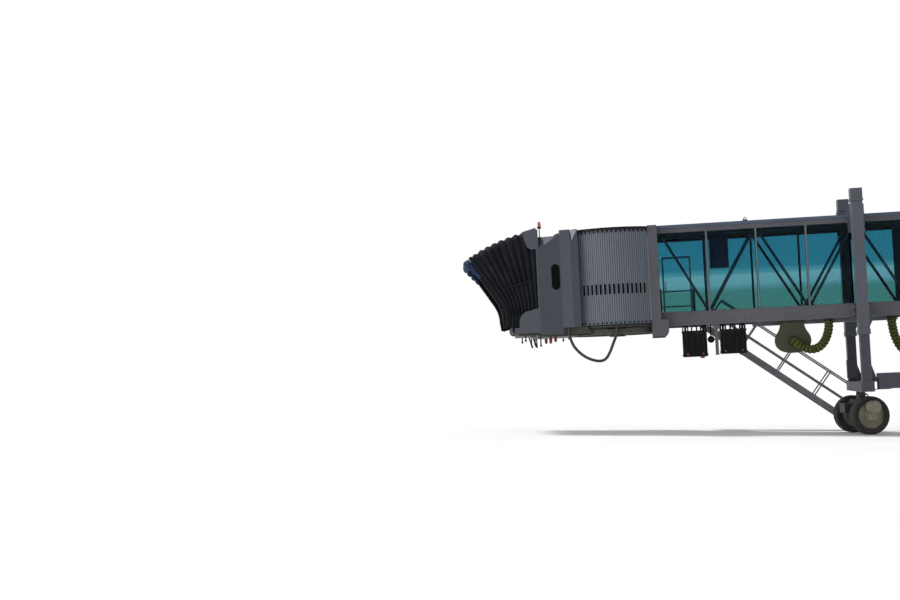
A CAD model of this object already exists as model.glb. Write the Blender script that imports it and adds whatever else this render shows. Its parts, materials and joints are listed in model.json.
# A boarding bridge seen from the apron: a terminal column, a rotunda, two glazed telescoping tunnels on a
# wheeled lift, and a turning cab with a pleated canopy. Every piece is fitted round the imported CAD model.
import json
import math

import bmesh
import bpy
from mathutils import Matrix, Vector, noise


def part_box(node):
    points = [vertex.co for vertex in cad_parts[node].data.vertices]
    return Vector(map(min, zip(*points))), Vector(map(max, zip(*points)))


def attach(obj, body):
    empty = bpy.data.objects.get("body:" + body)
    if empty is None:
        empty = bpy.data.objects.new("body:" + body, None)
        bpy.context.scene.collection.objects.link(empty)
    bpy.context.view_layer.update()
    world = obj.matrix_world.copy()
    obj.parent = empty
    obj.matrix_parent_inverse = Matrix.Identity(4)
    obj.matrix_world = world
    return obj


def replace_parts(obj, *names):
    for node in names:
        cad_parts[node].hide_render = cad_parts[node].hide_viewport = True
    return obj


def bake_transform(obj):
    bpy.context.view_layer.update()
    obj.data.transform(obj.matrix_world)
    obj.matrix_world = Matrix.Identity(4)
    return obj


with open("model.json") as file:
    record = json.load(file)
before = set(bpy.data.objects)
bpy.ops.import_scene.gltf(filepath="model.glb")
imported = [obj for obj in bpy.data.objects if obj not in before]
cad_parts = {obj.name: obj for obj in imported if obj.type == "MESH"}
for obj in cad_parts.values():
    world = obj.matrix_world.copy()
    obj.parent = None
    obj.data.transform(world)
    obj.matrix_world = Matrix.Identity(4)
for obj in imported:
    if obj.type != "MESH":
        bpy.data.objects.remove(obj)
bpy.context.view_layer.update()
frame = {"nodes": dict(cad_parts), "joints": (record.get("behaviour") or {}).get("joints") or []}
scene = bpy.context.scene
scene.view_settings.view_transform = "Standard"

# The camera stands on the apron, well out to the bridge's side, and looks slightly up and across it. The
# view's width of 900 takes in the canopy on the left and cuts the tunnel on the right.
focal_px, view_px, sensor_mm = 1380, 900, 36
view_yaw, view_pitch = math.radians(8.37), math.radians(2.757)
camera = bpy.data.objects.new("camera", bpy.data.cameras.new("camera"))
camera.data.sensor_width = sensor_mm
camera.data.lens = focal_px / view_px * sensor_mm
camera.data.clip_end = 500
camera.location = (-21.764, -45.541, 2.128)
camera.rotation_euler = (math.pi / 2 + view_pitch, 0, view_yaw)
scene.collection.objects.link(camera)
scene.camera = camera

# The power cable between the cab and the turntable hangs in a free loop, so that the cab can turn. It is a
# bundle in one black rubber sheath, 90 mm across, and both ends go up into the steelwork. Its route is laid
# out from the turntable's centre, in the frame of the tunnel, whose x runs to the terminal.
joint = {j["name"]: j for j in frame["joints"]}


def frame_at(origin, along, across):
    turned = Matrix((along, across, along.cross(across))).transposed()
    return Matrix.Translation(origin) @ turned.to_4x4()


along_tunnel = -Vector(joint["tunnel_extend"]["axis"])
turntable = frame_at(Vector(joint["cab_turn"]["pos_m"]), along_tunnel, Vector((0, 1, 0)))


def smooth_line(points, steps):
    points = [Vector(p) for p in points]
    ends = [points[0] * 2 - points[1]] + points + [points[-1] * 2 - points[-2]]
    line = []
    for a, b, c, d in zip(ends, ends[1:], ends[2:], ends[3:]):
        for k in range(steps):
            t = k / steps
            line.append(0.5 * (2 * b + (c - a) * t + (2 * a - 5 * b + 4 * c - d) * t ** 2
                               + (3 * b - a - 3 * c + d) * t ** 3))
    return line + [points[-1]]


def srgb(code):
    parts = [int(code[i:i + 2], 16) / 255 for i in (0, 2, 4)]
    return tuple(c / 12.92 if c <= 0.04045 else ((c + 0.055) / 1.055) ** 2.4 for c in parts) + (1,)


def link(tree, made, inputs):
    for name, value in inputs.items():
        socket = made.inputs[int(name[1:]) if name[1:].isdigit() else name.replace("_", " ")]
        if isinstance(value, bpy.types.NodeSocket):
            tree.links.new(value, socket)
        else:
            socket.default_value = value


def node(tree, kind, output=0, options=(), **inputs):
    made = tree.nodes.new("ShaderNode" + kind)
    for name, value in options:
        setattr(made, name, value)
    link(tree, made, inputs)
    return made.outputs[output]


def colour_ramp(tree, factor, *stops):
    made = tree.nodes.new("ShaderNodeValToRGB")
    tree.links.new(factor, made.inputs[0])
    elements = made.color_ramp.elements
    for i, (at, code) in enumerate(stops):
        stop = elements[i] if i < 2 else elements.new(at)
        stop.position, stop.color = at, srgb(code)
    return made.outputs[0]


def new_material(name):
    made = bpy.data.materials.new(name)
    made.use_nodes = True
    made.node_tree.nodes.clear()
    return made, made.node_tree


def put_shader(tree, shader):
    tree.links.new(shader, tree.nodes.new("ShaderNodeOutputMaterial").inputs[0])


cable_route = [(-1.475, -1.722, 0.11), (-1.475, -1.722, -0.02), (-1.462, -1.726, -0.17), (-1.42, -1.732, -0.33),
               (-1.33, -1.738, -0.52), (-1.18, -1.745, -0.7), (-0.98, -1.752, -0.86), (-0.76, -1.758, -0.96),
               (-0.56, -1.76, -1.0), (-0.39, -1.758, -0.96), (-0.27, -1.75, -0.82), (-0.17, -1.74, -0.62),
               (-0.08, -1.728, -0.4), (0.0, -1.712, -0.21), (0.025, -1.7, -0.06), (0.025, -1.7, 0.06)]
cable_d = 0.09
rubber, tree = new_material("cable_rubber")
where = node(tree, "TexCoord", 3)
tint = colour_ramp(tree, node(tree, "TexNoise", Vector=where, Scale=3.0, Detail=6.0),
                   (0.35, "121214"), (0.75, "26262a"))
grain = node(tree, "TexNoise", Vector=where, Scale=220.0, Detail=3.0)
relief = node(tree, "Bump", Strength=0.2, Distance=0.001, Height=grain)
put_shader(tree, node(tree, "BsdfPrincipled", Base_Color=tint, Roughness=0.55, Normal=relief))
cable_line = [turntable @ p for p in smooth_line(cable_route, 2)]
loop = bpy.data.curves.new("cab_cable_loop", "CURVE")
loop.dimensions = "3D"
loop.bevel_depth = cable_d / 2
loop.bevel_resolution = 5
loop.use_fill_caps = True
spline = loop.splines.new("POLY")
spline.points.add(len(cable_line) - 1)
for point, at in zip(spline.points, cable_line):
    point.co = (*at, 1)
loop.materials.append(rubber)
cable = bpy.data.objects.new("cab_cable_loop", loop)
scene.collection.objects.link(cable)
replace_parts(cable, "cab_cable")
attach(cable, "cab")

# The floor stands for the apron: pale and plain, so that it only catches the bridge's shadow. The backdrop is
# white to the camera and to gloss and glass. A soft sun stands high behind the bridge on the left, so that the
# near side is in even shade, and the sky's glow comes in low from the left.
floor_half = 260
bm = bmesh.new()
bmesh.ops.create_grid(bm, x_segments=2, y_segments=2, size=floor_half)
mesh = bpy.data.meshes.new("floor")
bm.to_mesh(mesh)
bm.free()
pale, tree = new_material("pale_floor")
speckle = colour_ramp(tree, node(tree, "TexNoise", Vector=node(tree, "TexCoord", 3), Scale=0.4, Detail=3.0),
                      (0.3, "e2e2e2"), (0.7, "e8e8e8"))
put_shader(tree, node(tree, "BsdfPrincipled", Base_Color=speckle, Roughness=0.9))
mesh.materials.append(pale)
floor = bpy.data.objects.new("floor", mesh)
scene.collection.objects.link(floor)
world = bpy.data.worlds.new("white_room")
world.use_nodes = True
scene.world = world
tree = world.node_tree
tree.nodes.clear()
path = tree.nodes.new("ShaderNodeLightPath")
shown = node(tree, "Math", 0, [("operation", "MAXIMUM")], _0=path.outputs["Is Camera Ray"],
             _1=path.outputs["Is Glossy Ray"])
shown = node(tree, "Math", 0, [("operation", "MAXIMUM")], _0=shown, _1=path.outputs["Is Transmission Ray"])
room_light = 0.52
dim = node(tree, "Background", Color=(0.97, 0.985, 1, 1), Strength=room_light)
bright = node(tree, "Background", Color=(1, 1, 1, 1), Strength=1.0)
room = node(tree, "MixShader", _0=shown, _1=dim, _2=bright)
tree.links.new(room, tree.nodes.new("ShaderNodeOutputWorld").inputs[0])
for label, energy, spread, toward in (("sun", 2.5, 8, (-0.46, 0.1, 0.88)), ("glow", 1.7, 35, (-0.92, -0.36, 0.16))):
    light = bpy.data.objects.new(label, bpy.data.lights.new(label, "SUN"))
    light.data.energy = energy
    light.data.angle = math.radians(spread)
    light.rotation_euler = Vector(toward).to_track_quat("Z", "Y").to_euler()
    scene.collection.objects.link(light)

# The terminal column carries the rotunda, whose floor and roof stand still while the portal with the tunnel's
# hinge swings round them. All of it is welded steel plate under grey two-pack paint, on twelve anchor bolts.
# Rain leaves streaks down the paint, grime gathers in patches, and the edges rub pale.
FLOAT, COLOUR = "NodeSocketFloat", "NodeSocketColor"


def new_group(name, inputs, outputs):
    made = bpy.data.node_groups.new(name, "ShaderNodeTree")
    for label, kind, value in inputs:
        made.interface.new_socket(label, in_out="INPUT", socket_type=kind).default_value = value
    for label, kind in outputs:
        made.interface.new_socket(label, in_out="OUTPUT", socket_type=kind)
    return made, made.nodes.new("NodeGroupInput").outputs, made.nodes.new("NodeGroupOutput").inputs


def use_group(tree, which, **inputs):
    made = tree.nodes.new("ShaderNodeGroup")
    made.node_tree = which
    link(tree, made, inputs)
    return made.outputs


def times(tree, a, b):
    return node(tree, "Math", 0, [("operation", "MULTIPLY")], _0=a, _1=b)


def between(tree, value, low, high):
    return node(tree, "MapRange", Value=value, From_Min=low, From_Max=high)


def mix_colour(tree, share, a, b, way="MIX"):
    return node(tree, "Mix", 2, [("data_type", "RGBA"), ("blend_type", way)], _0=share, _6=a, _7=b)


weathering, given, gives = new_group(
    "weathering",
    [("Paint", COLOUR, srgb("808080")), ("Grime", COLOUR, srgb("3a3836")), ("Streaks", FLOAT, 0.25),
     ("Patches", FLOAT, 0.25), ("Gloss", FLOAT, 0.45), ("Wear", FLOAT, 0.2)],
    [("Colour", COLOUR), ("Roughness", FLOAT), ("Height", FLOAT)])
where = node(weathering, "TexCoord", 3)
drawn_out = node(weathering, "Mapping", Vector=where, Scale=(6.0, 6.0, 0.4))
runs = between(weathering, node(weathering, "TexNoise", Vector=drawn_out, Scale=2.0, Detail=6.0,
                                Roughness=0.65), 0.5, 0.75)
cloudy = between(weathering, node(weathering, "TexNoise", Vector=where, Scale=0.7, Detail=7.0,
                                  Roughness=0.62), 0.38, 0.72)
specks = between(weathering, node(weathering, "TexNoise", Vector=where, Scale=46.0, Detail=4.0,
                                  Roughness=0.75), 0.7, 0.76)
rounded = node(weathering, "Bevel", 0, [("samples", 4)], Radius=0.014)
turned = node(weathering, "VectorMath", 1, [("operation", "DOT_PRODUCT")], _0=rounded,
              _1=node(weathering, "NewGeometry", 1))
chafed = node(weathering, "TexNoise", Vector=where, Scale=9.0, Detail=5.0, Roughness=0.7)
rubbed = times(weathering, between(weathering, turned, 0.97, 0.8), between(weathering, chafed, 0.42, 0.62))
dirt = node(weathering, "Math", 0, [("operation", "MAXIMUM")], _0=times(weathering, runs, given["Streaks"]),
            _1=times(weathering, cloudy, given["Patches"]))
worn = times(weathering, node(weathering, "Math", 0, [("operation", "MAXIMUM")], _0=rubbed, _1=specks),
             given["Wear"])
dirty = mix_colour(weathering, dirt, given["Paint"], given["Grime"])
bare = mix_colour(weathering, 0.35, given["Paint"], srgb("b4b5b6"))
weathering.links.new(mix_colour(weathering, worn, dirty, bare), gives["Colour"])
weathering.links.new(node(weathering, "Math", 0, [("operation", "MULTIPLY_ADD")], _0=dirt, _1=0.35,
                          _2=given["Gloss"]), gives["Roughness"])
peel = node(weathering, "TexNoise", Vector=where, Scale=90.0, Detail=2.0)
weathering.links.new(node(weathering, "Math", 0, [("operation", "MULTIPLY_ADD")], _0=worn, _1=-0.8, _2=peel),
                     gives["Height"])


def painted(name, paint, grime="2c2b2a", streaks=0.3, patches=0.3, gloss=0.5, wear=0.5, metal=0.0, shine=0.28,
            ribs=0.0):
    made, tree = new_material(name)
    look = use_group(tree, weathering, Paint=srgb(paint), Grime=srgb(grime), Streaks=streaks,
                     Patches=patches, Gloss=gloss, Wear=wear)
    relief = node(tree, "Bump", Strength=0.12, Distance=0.002, Height=look["Height"])
    if ribs:
        fluted = node(tree, "TexWave", 1, [("wave_profile", "SIN")], Vector=node(tree, "TexCoord", 3),
                      Scale=math.tau / 20 / ribs)
        relief = node(tree, "Bump", Strength=0.3, Distance=0.004, Height=fluted, Normal=relief)
    put_shader(tree, node(tree, "BsdfPrincipled", Base_Color=look["Colour"], Roughness=look["Roughness"],
                          Metallic=metal, Specular_IOR_Level=shine, Normal=relief))
    return made


def dress(finish, *names, edge=0.004):
    for name in names:
        obj = frame["nodes"][name]
        if not obj.data.materials:
            obj.data.materials.append(finish)
        for slot in obj.material_slots:
            slot.link = "OBJECT"
            slot.material = finish
        if edge:
            rounding = obj.modifiers.new("edges", "BEVEL")
            rounding.width, rounding.segments, rounding.limit_method = edge, 2, "ANGLE"
            rounding.angle_limit = math.radians(40)
            rounding.harden_normals = True


def put(name, bm, finish, place, body, slot, *replaced, edge=0.0, sharp=35):
    bmesh.ops.recalc_face_normals(bm, faces=bm.faces[:])
    for face in bm.faces:
        face.smooth = True
    for rim in bm.edges:
        rim.smooth = rim.is_manifold and rim.calc_face_angle(0) < math.radians(sharp)
    made = bpy.data.meshes.new(name)
    bm.to_mesh(made)
    bm.free()
    made.materials.append(finish)
    obj = bpy.data.objects.new(name, made)
    scene.collection.objects.link(obj)
    obj.matrix_world = place
    if edge:
        rounding = obj.modifiers.new("edges", "BEVEL")
        rounding.width, rounding.segments, rounding.limit_method = edge, 2, "ANGLE"
        rounding.harden_normals = True
    if body:
        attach(obj, body)
    if replaced:
        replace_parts(obj, *replaced)
    return obj


def bar(bm, low, high, place=Matrix.Identity(4)):
    low, high = Vector(low), Vector(high)
    size = Matrix.Diagonal((*(high - low), 1))
    bmesh.ops.create_cube(bm, size=1, matrix=place @ Matrix.Translation((low + high) / 2) @ size)


def rod(bm, p, q, r, r_end=None, sides=16):
    p, q = Vector(p), Vector(q)
    turn = (q - p).to_track_quat("Z", "Y").to_matrix().to_4x4()
    bmesh.ops.create_cone(bm, cap_ends=True, segments=sides, radius1=r, radius2=r if r_end is None else r_end,
                          depth=(q - p).length, matrix=Matrix.Translation((p + q) / 2) @ turn)


def bolt(bm, at, out, across=0.036):
    at, out = Vector(at), Vector(out).normalized()
    rod(bm, at - out * 0.002, at + out * across * 0.12, across * 0.95)
    rod(bm, at + out * across * 0.1, at + out * across * 0.62, across * 0.58, across * 0.56, sides=6)
    rod(bm, at + out * across * 0.6, at + out * across * 0.95, across * 0.3, across * 0.24, sides=10)


tunnel_grey = painted("tunnel_grey", "55555b", streaks=0.35)
galvanised = painted("galvanised", "75787c", grime="4a4a48", streaks=0.2, patches=0.5, gloss=0.5, metal=0.4)
dress(tunnel_grey, "pedestal_column", "corridor_frame", "rotunda_floor", "rotunda_roof", "rotunda_portal")
base_plate_t, anchor_ring, anchors = 0.06, 0.8, 12
bm = bmesh.new()
for i in range(anchors):
    turn = 2 * math.pi * i / anchors
    at = Vector((anchor_ring * math.cos(turn), anchor_ring * math.sin(turn), base_plate_t))
    bolt(bm, at, (0, 0, 1), across=0.075)
put("anchor_bolts", bm, galvanised, Matrix.Identity(4), "terminal_base", "galvanised_steel")

rotunda_r, curtain_r, roof_t = 1.8, 1.84, 0.075
roof_low, roof_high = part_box("rotunda_roof")
seams = 18
bm = bmesh.new()
for i in range(seams):
    turn = Matrix.Rotation(2 * math.pi * i / seams, 4, "Z") @ Matrix.Translation((0, 0, roof_high.z))
    bar(bm, (0.12, -0.012, -0.002), (1.86, 0.012, 0.035), turn)
rod(bm, (0, 0, roof_high.z - 0.002), (0, 0, roof_high.z + 0.045), 0.16, 0.12, 32)
put("rotunda_roof_seams", bm, tunnel_grey, Matrix.Identity(4), "terminal_base", "tunnel_paint", edge=0.003)

# The rotunda's side walls are curtains of steel slats that wind up as the tunnel swings. A slat is a rolled
# strip with two raised ribs, hooked into its neighbour, and its foot runs in the floor's guide rail.
slat_t = 0.012
rib_steps, rib_rise = 20, 0.012
rib_profile = [(k / rib_steps, rib_rise * (0.5 - 0.5 * math.cos(4 * math.pi * k / rib_steps)) ** 0.8)
               for k in range(rib_steps)]


def slat_wall(name, finish, centre, r, slats, start, end, z0, z1, window=None, share=(0.25, 0.75)):
    columns = [(i + u, d if u else -0.006) for i in range(slats) for u, d in rib_profile] + [(slats, -0.006)]
    levels = [z0, z1] if window is None else [z0, window[0], window[1], z1]
    bm = bmesh.new()
    rows = []
    for z in levels:
        rows.append([bm.verts.new(centre @ Vector(((r + d) * math.cos(start + (end - start) * s / slats),
                                                   (r + d) * math.sin(start + (end - start) * s / slats), z)))
                     for s, d in columns])
    for k in range(len(levels) - 1):
        for i in range(len(columns) - 1):
            slat, u = divmod(columns[i][0], 1)
            holed = window and k == 1 and share[0] - 0.001 < u < share[1] - 0.001 and 0 < slat < slats - 1
            if not holed:
                bm.faces.new((rows[k][i], rows[k][i + 1], rows[k + 1][i + 1], rows[k + 1][i]))
    bm.verts.index_update()
    for face in bm.faces:
        face.smooth = True
        slat_share = (min(e.index for e in face.verts) % len(columns)) % rib_steps
        face.material_index = 1 if slat_share in (0, 9, 10, rib_steps - 1) else 0
    for rim in bm.edges:
        rim.smooth = rim.is_manifold and rim.calc_face_angle(0) < math.radians(30)
    made = bpy.data.meshes.new(name)
    bm.to_mesh(made)
    bm.free()
    made.materials.append(finish)
    made.materials.append(groove_grey)
    obj = bpy.data.objects.new(name, made)
    scene.collection.objects.link(obj)
    skin = obj.modifiers.new("gauge", "SOLIDIFY")
    skin.thickness, skin.offset = slat_t, -1 if end > start else 1
    return obj


def slat_shoes(bm, centre, r, slats, start, end, z, tall, half=0.028):
    for i in range(slats):
        a = start + (end - start) * (i + 0.5) / slats
        spot = centre @ Matrix.Rotation(a, 4, "Z") @ Matrix.Translation((r, 0, z))
        rod(bm, spot @ Vector((0, 0, tall)), spot @ Vector((0.024, 0, tall)), half, sides=14)
        bar(bm, (0, -half * 0.99, 0), (0.0235, half * 0.99, tall), spot)


curtain_grey, tree = new_material("curtain_grey")
look = use_group(tree, weathering, Paint=srgb("636973"), Grime=srgb("3f4247"), Streaks=0.35, Patches=0.2,
                 Gloss=0.55, Wear=0.0)
relief = node(tree, "Bump", Strength=0.1, Distance=0.002, Height=look["Height"])
put_shader(tree, node(tree, "BsdfPrincipled", Base_Color=look["Colour"], Roughness=look["Roughness"],
                      Specular_IOR_Level=0.3, Normal=relief))
groove_grey = painted("curtain_grooves", "3b3f46", grime="2b2d31", gloss=0.7, wear=0.0, shine=0.15)
rim_dark = painted("rim_dark", "101114", gloss=0.6, streaks=0.1, patches=0.2, wear=0.15, shine=0.15)
black_glass, tree = new_material("smoked_glass")
smear = node(tree, "TexNoise", Vector=node(tree, "TexCoord", 3), Scale=7.0, Detail=5.0)
put_shader(tree, node(tree, "BsdfPrincipled", Base_Color=colour_ramp(tree, smear, (0.3, "030405"), (0.8, "090a0c")),
                      Specular_IOR_Level=0.05,
                      Roughness=colour_ramp(tree, smear, (0.3, "909090"), (0.8, "b8b8b8"))))
curtain_low, curtain_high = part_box("rotunda_curtains")
jamb = math.asin(1.2003 / 1.828)
hinge_side = math.pi - math.asin(1.2803 / 1.828)
wall_slats = round(math.degrees(hinge_side - jamb) / 4.4)
bm = bmesh.new()
for side, label in ((-1, "near"), (1, "far")):
    wall = slat_wall("rotunda_curtain_" + label, curtain_grey, Matrix.Identity(4), curtain_r, wall_slats,
                     side * jamb, side * hinge_side, curtain_low.z, curtain_high.z)
    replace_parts(wall, "rotunda_curtains")
    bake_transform(wall)
    slat_shoes(bm, Matrix.Identity(4), curtain_r, wall_slats, side * jamb, side * hinge_side, curtain_low.z, 0.05)
wall = put("rotunda_curtain_shoes", bm, rim_dark, Matrix.Identity(4), None, "dark_rim")
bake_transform(wall)

# The inner tunnel is a light steel frame glazed with one pane a bay. It hangs on the hinge at the rotunda and
# runs inside the outer tunnel on rollers. Its floor is studded rubber over plywood, and a tube lights it.
hinge_rise = 0.4
tunnel = frame_at(Vector(joint["tunnel_lift"]["pos_m"]), along_tunnel, Vector((0, 1, 0)))
tunnel = tunnel @ Matrix.Translation((0, 0, -hinge_rise))
dress(tunnel_grey, "inner_floor", "inner_roof", "inner_side_near", "inner_side_far")


def teal_glass(name, zones):
    made, tree = new_material(name)
    where = node(tree, "TexCoord", 3)
    parts = node(tree, "SeparateXYZ", 2, Vector=where)
    wave = node(tree, "TexNoise", Vector=where, Scale=0.5, Detail=3.0)
    height = node(tree, "Math", 0, [("operation", "MULTIPLY_ADD")], _0=wave, _1=0.1, _2=parts)
    height = between(tree, height, 0.0, 3.4)
    tint = colour_ramp(tree, height, *zones)
    film = node(tree, "TexNoise", Vector=where, Scale=3.0, Detail=6.0)
    put_shader(tree, node(tree, "BsdfPrincipled", Base_Color=tint, Transmission_Weight=1.0, IOR=1.16,
                          Roughness=times(tree, between(tree, film, 0.45, 0.9), 0.012)))
    return made


def panes(name, finish, y, x0, bays, bay, z0, z1, place, body, thick=0.012, gap=0.026, skip=()):
    bm = bmesh.new()
    for i in range(bays):
        for low, high in [((x0 + i * bay + gap, x0 + (i + 1) * bay - gap))] if i not in skip else skip[i]:
            bar(bm, (low, y - thick / 2, z0), (high, y + thick / 2, z1))
    return put(name, bm, finish, place, body, "tunnel_glass")


bay_l, portal_l = 1.54, 0.3
inner_end, inner_start, inner_bays, inner_glass_y = 11.64, 0.26, 7, 0.92
inner_floor_z = 0.41
glass = teal_glass("teal_glass", [(0.13, "78aaa6"), (0.345, "78aaac"), (0.37, "90bdc6"), (0.5, "98c4cb"),
                                  (0.53, "60a6b6"), (0.95, "5ba2b3")])
for side, label in ((-1, "near"), (1, "far")):
    obj = panes("inner_panes_" + label, glass, side * inner_glass_y, -inner_end + portal_l, inner_bays, bay_l,
                0.532, 2.744, tunnel, "inner_tunnel")
    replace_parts(obj, "inner_glass")
seal_rubber, tree = new_material("seal_rubber")
dust = node(tree, "TexNoise", Vector=node(tree, "TexCoord", 3), Scale=9.0, Detail=6.0)
put_shader(tree, node(tree, "BsdfPrincipled", Base_Color=colour_ramp(tree, dust, (0.3, "101113"), (0.8, "202224")),
                      Roughness=colour_ramp(tree, dust, (0.3, "909090"), (0.8, "c0c0c0"))))


def gaskets(bm, y, out, x0, bays, bay, z0, z1, half=0.025, lip=0.022, stand=0.008, skip=()):
    for i in range(bays):
        a, b = x0 + i * bay + (half if i else 0), x0 + (i + 1) * bay - (half if i < bays - 1 else 0)
        low, high = sorted((y, y + out * stand))
        if i in skip:
            continue
        for x in (a, b - lip):
            bar(bm, (x, low, z0), (x + lip, high, z1))
        for z in (z0, z1 - lip):
            bar(bm, (a + lip, low, z), (b - lip, high, z + lip))


bm = bmesh.new()
for side in (-1, 1):
    for face in (-1, 1):
        gaskets(bm, side * inner_glass_y + face * 0.006, face, -inner_end + portal_l, inner_bays, bay_l, 0.532, 2.744)
put("inner_gaskets", bm, seal_rubber, tunnel, "inner_tunnel", "dark_rim")
studded, tree = new_material("studded_rubber")
where = node(tree, "TexCoord", 3)
studs = node(tree, "TexVoronoi", Vector=where, Scale=40.0, Randomness=0.0)
worn_path = node(tree, "TexNoise", Vector=where, Scale=1.2, Detail=6.0)
put_shader(tree, node(tree, "BsdfPrincipled", Base_Color=colour_ramp(tree, worn_path, (0.3, "26282b"), (0.75, "3b3d40")),
                      Roughness=0.7, Normal=node(tree, "Bump", Strength=0.5, Distance=0.002, Height=studs)))
lit_tube, tree = new_material("lit_tube")
haze = node(tree, "TexNoise", Vector=node(tree, "TexCoord", 3), Scale=4.0)
put_shader(tree, node(tree, "BsdfPrincipled", Base_Color=colour_ramp(tree, haze, (0.2, "e6e8ea"), (0.9, "f4f5f6")),
                      Roughness=0.3))


def fit_out(name, body, x0, x1, half, floor_z, roof_z, light_at):
    bm = bmesh.new()
    bar(bm, (x0, -half, floor_z), (x1, half, floor_z + 0.005))
    put(name + "_floor_rubber", bm, studded, tunnel, body, "dark_rim")
    bm, lenses = bmesh.new(), bmesh.new()
    for x in light_at:
        bar(bm, (x - 0.62, -0.09, roof_z - 0.03), (x + 0.62, 0.09, roof_z - 0.001))
        for y in (-0.045, 0.045):
            rod(lenses, (x - 0.58, y, roof_z - 0.04), (x + 0.58, y, roof_z - 0.04), 0.013, sides=12)
    put(name + "_light_trays", bm, tunnel_grey, tunnel, body, "tunnel_paint", edge=0.003)
    put(name + "_light_tubes", lenses, lit_tube, tunnel, body, "lamp_lens")


fit_out("inner", "inner_tunnel", -inner_end, -inner_start, 0.878, inner_floor_z, 2.895,
        [-inner_end + portal_l + bay_l * (i + 0.5) for i in range(0, inner_bays, 2)])
bm = bmesh.new()
for side in (-1, 1):
    rail_y = side * 0.82
    rod(bm, (-inner_end + 0.1, rail_y, 1.31), (-inner_start - 0.1, rail_y, 1.31), 0.02)
    for i in range(inner_bays + 1):
        x = -inner_end + portal_l + i * bay_l - (0.1 if i == 0 else 0)
        rod(bm, (x, rail_y, 1.31), (x, rail_y + side * 0.065, 1.29), 0.009, sides=10)
put("inner_handrails", bm, galvanised, tunnel, "inner_tunnel", "galvanised_steel")

# The outer tunnel is a box girder of square tube: two chords a side, a Warren truss behind the glass, and a
# portal at each end. One long row of teal panes a side stands in rubber behind slim mullions.
outer_end, outer_bays, glass_y, glass_low, glass_high = 19.53, 8, 1.14, 0.441, 2.974
outer_x0 = -outer_end + portal_l
truss_grey = painted("truss_grey", "3d4145", streaks=0.2, gloss=0.5)
roof_grey = painted("roof_grey", "4b5468", streaks=0.15, patches=0.4)
dress(tunnel_grey, "outer_floor", "outer_side_near", "outer_side_far", "front_portal", "rear_portal")
dress(roof_grey, "outer_roof", "inner_roof")
obj = panes("outer_panes_near", glass, -glass_y, outer_x0, outer_bays, bay_l, glass_low, glass_high, tunnel,
            "outer_tunnel", gap=0.01)
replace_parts(obj, "outer_glass")
door_x, door_w, door_low, door_top = outer_x0 + 0.15, 0.9, 0.256, 2.351
door_out, door_in, stile = glass_y + 0.025, glass_y - 0.025, 0.03
bm = bmesh.new()
for x in (door_x, door_x + door_w - stile):
    bar(bm, (x, door_in, door_low), (x + stile, door_out, door_top))
for z, tall in ((door_low, 0.12), (door_top - 0.03, 0.03)):
    bar(bm, (door_x + stile - 0.001, door_in, z), (door_x + door_w - stile + 0.001, door_out, z + tall))
for face in (-1, 1):
    rod(bm, (door_x + 0.08, glass_y + face * 0.065, 1.15), (door_x + 0.08, glass_y + face * 0.065, 1.55), 0.012)
    for z in (1.19, 1.51):
        rod(bm, (door_x + 0.08, glass_y + face * 0.02, z), (door_x + 0.08, glass_y + face * 0.066, z), 0.009)
door_grey = painted("door_grey", "a4abae", grime="7c8284", streaks=0.1, patches=0.2)
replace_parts(put("service_door_frame", bm, door_grey, tunnel, "outer_tunnel", "tunnel_paint", edge=0.003),
            "service_door")
bm = bmesh.new()
bar(bm, (door_x + stile, glass_y - 0.006, door_low + 0.12),
    (door_x + door_w - stile, glass_y + 0.006, door_top - 0.03))
bar(bm, (outer_x0 + 0.01, glass_y - 0.006, glass_low), (door_x - 0.026, glass_y + 0.006, door_top + 0.02))
put("service_door_panes", bm, glass, tunnel, "outer_tunnel", "tunnel_glass")
bm = bmesh.new()
for x in (door_x - 0.028, door_x + door_w + 0.003):
    bar(bm, (x, glass_y - 0.03, glass_low), (x + 0.026, glass_y + 0.03, door_top + 0.03))
bar(bm, (door_x - 0.028, glass_y - 0.03, door_top + 0.004), (door_x + door_w + 0.029, glass_y + 0.03, door_top + 0.032))
put("service_door_jambs", bm, door_grey, tunnel, "outer_tunnel", "tunnel_paint", edge=0.002)
bm = bmesh.new()
for i in range(1, outer_bays):
    bar(bm, (outer_x0 + i * bay_l + 0.01, glass_y - 0.006, glass_low),
        (outer_x0 + (i + 1) * bay_l - 0.01, glass_y + 0.006, glass_high))
bar(bm, (door_x + door_w + 0.03, glass_y - 0.006, glass_low), (outer_x0 + bay_l - 0.01, glass_y + 0.006, glass_high))
bar(bm, (outer_x0 + 0.01, glass_y - 0.006, door_top + 0.03), (door_x + door_w + 0.029, glass_y + 0.006, glass_high))
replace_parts(put("outer_panes_far", bm, glass, tunnel, "outer_tunnel", "tunnel_glass"), "outer_glass")
bm = bmesh.new()
for face in (-1, 1):
    gaskets(bm, -glass_y + face * 0.006, face, outer_x0, outer_bays, bay_l, glass_low, glass_high, lip=0.01)
    gaskets(bm, glass_y + face * 0.006, face, outer_x0, outer_bays, bay_l, glass_low, glass_high, lip=0.01, skip=(0,))
put("outer_gaskets", bm, seal_rubber, tunnel, "outer_tunnel", "dark_rim")
cover_grey = painted("cover_grey", "68767c", grime="4c5254", streaks=0.3, patches=0.2)
bm = bmesh.new()
for side in (-1, 1):
    for i in range(1, outer_bays):
        low, high = sorted((side * 1.199, side * 1.207))
        bar(bm, (outer_x0 + i * bay_l - 0.013, low, glass_low), (outer_x0 + i * bay_l + 0.013, high, glass_high))
put("mullion_covers", bm, cover_grey, tunnel, "outer_tunnel", "tunnel_paint", edge=0.002)
bm = bmesh.new()
for side in (-1, 1):
    low, high = sorted((side * 1.09, side * 1.128))
    bar(bm, (outer_x0 + 0.002, low, 2.875), (-6.912, high, glass_high - 0.002))
put("outer_blind_cases", bm, seal_rubber, tunnel, "outer_tunnel", "dark_rim")
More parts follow.
